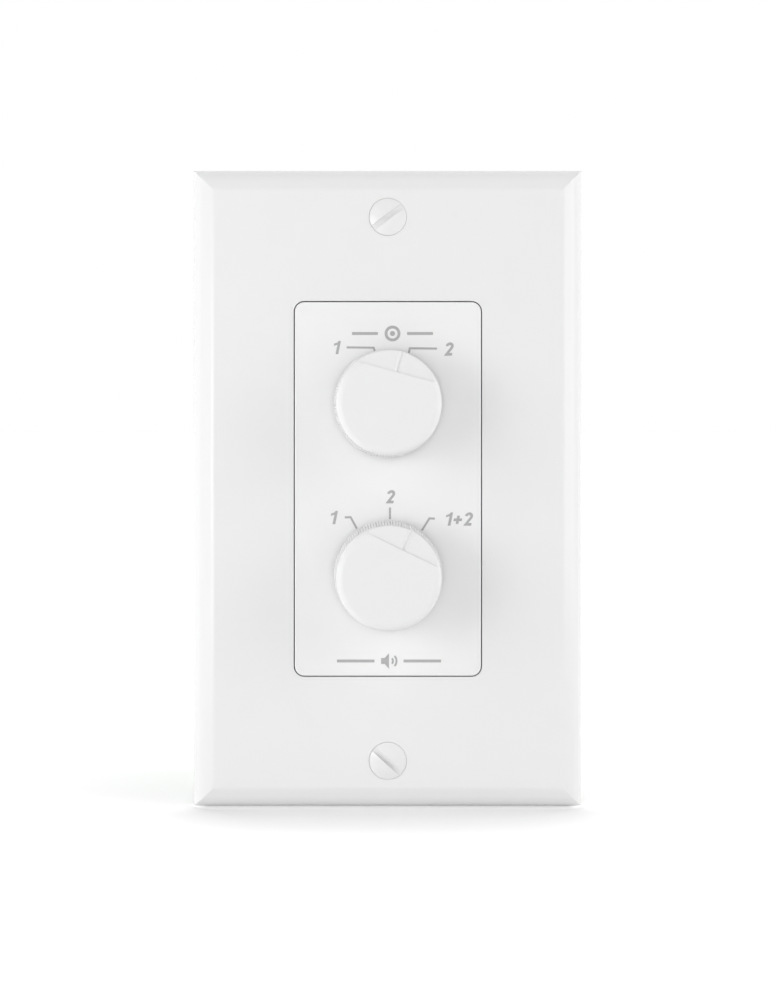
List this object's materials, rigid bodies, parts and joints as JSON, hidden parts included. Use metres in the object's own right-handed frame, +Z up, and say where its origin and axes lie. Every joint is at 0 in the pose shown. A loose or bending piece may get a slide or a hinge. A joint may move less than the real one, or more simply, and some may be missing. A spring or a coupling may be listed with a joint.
{
  "type": "speaker selector switch",
  "caption": "Single-gang wall plate with an insert panel and two rotary selector knobs; switches, circuit board and screw-terminal plugs sit on a steel strap behind it.",
  "frame": {"origin": "centre of the two box-screw holes, on the wall plane (the strap's rear face)", "axes": "+Z up along the line of the box screws, +Y into the wall, -Y to the front, +X to the right seen from the front"},
  "size_m": [0.0698, 0.0531, 0.1142],
  "materials": {
    "plate_white": "satin",
    "insert_white": "fine satin",
    "knob_white": "satin",
    "screw_white": "white enamel",
    "strap_steel": "zinc plated",
    "nickel": "nickel plated",
    "shaft_metal": "turned",
    "spring_steel": "bright",
    "switch_black": "moulded",
    "rotor_natural": "natural acetal",
    "contact_brass": "bright",
    "board_green": "solder mask",
    "post_brass": "nickel flash",
    "screw_zinc": "zinc plated",
    "connector_green": "moulded",
    "pin_tin": "tin plated",
    "clamp_tin": "tin plated"
  },
  "bodies": {
    "fixed_frame": {"wall_plate": "plate_white", "plate_screws": "screw_white", "mounting_strap": "strap_steel", "face_insert": "insert_white", "source_washer": "nickel", "source_nut": "nickel", "source_bushing": "nickel", "source_housing": "switch_black", "source_detent_spring": "spring_steel", "source_stop_ring": "rotor_natural", "source_base": "switch_black", "source_terminals": "contact_brass", "speaker_washer": "nickel", "speaker_nut": "nickel", "speaker_bushing": "nickel", "speaker_housing": "switch_black", "speaker_detent_spring": "spring_steel", "speaker_stop_ring": "rotor_natural", "speaker_base": "switch_black", "speaker_terminals": "contact_brass", "circuit_board": "board_green", "board_posts": "post_brass", "board_screws": "screw_zinc", "header_source_1": "connector_green", "plug_source_1": "connector_green", "header_source_2": "connector_green", "plug_source_2": "connector_green", "header_speaker_1": "connector_green", "plug_speaker_1": "connector_green", "header_speaker_2": "connector_green", "plug_speaker_2": "connector_green", "header_pins": "pin_tin", "terminal_clamps": "clamp_tin", "terminal_screws": "screw_zinc"},
    "source_knob_group": {"source_knob": "knob_white", "source_knob_clip": "spring_steel", "source_shaft": "shaft_metal", "source_shaft_clip": "spring_steel", "source_rotor": "rotor_natural", "source_wipers": "contact_brass"},
    "speaker_knob_group": {"speaker_knob": "knob_white", "speaker_knob_clip": "spring_steel", "speaker_shaft": "shaft_metal", "speaker_shaft_clip": "spring_steel", "speaker_rotor": "rotor_natural", "speaker_wipers": "contact_brass"}
  },
  "joints": [
    {"name": "source_knob_turn", "type": "hinge", "parent": "fixed_frame", "child": "source_knob_group", "pos_m": [0, 0, 0.0152], "axis": [0, 1, 0], "range_deg": [-30, 0], "deforming": ["source_detent_spring"]},
    {"name": "speaker_knob_turn", "type": "hinge", "parent": "fixed_frame", "child": "speaker_knob_group", "pos_m": [0, 0, -0.0152], "axis": [0, 1, 0], "range_deg": [-60, 0], "deforming": ["speaker_detent_spring"]}
  ]
}
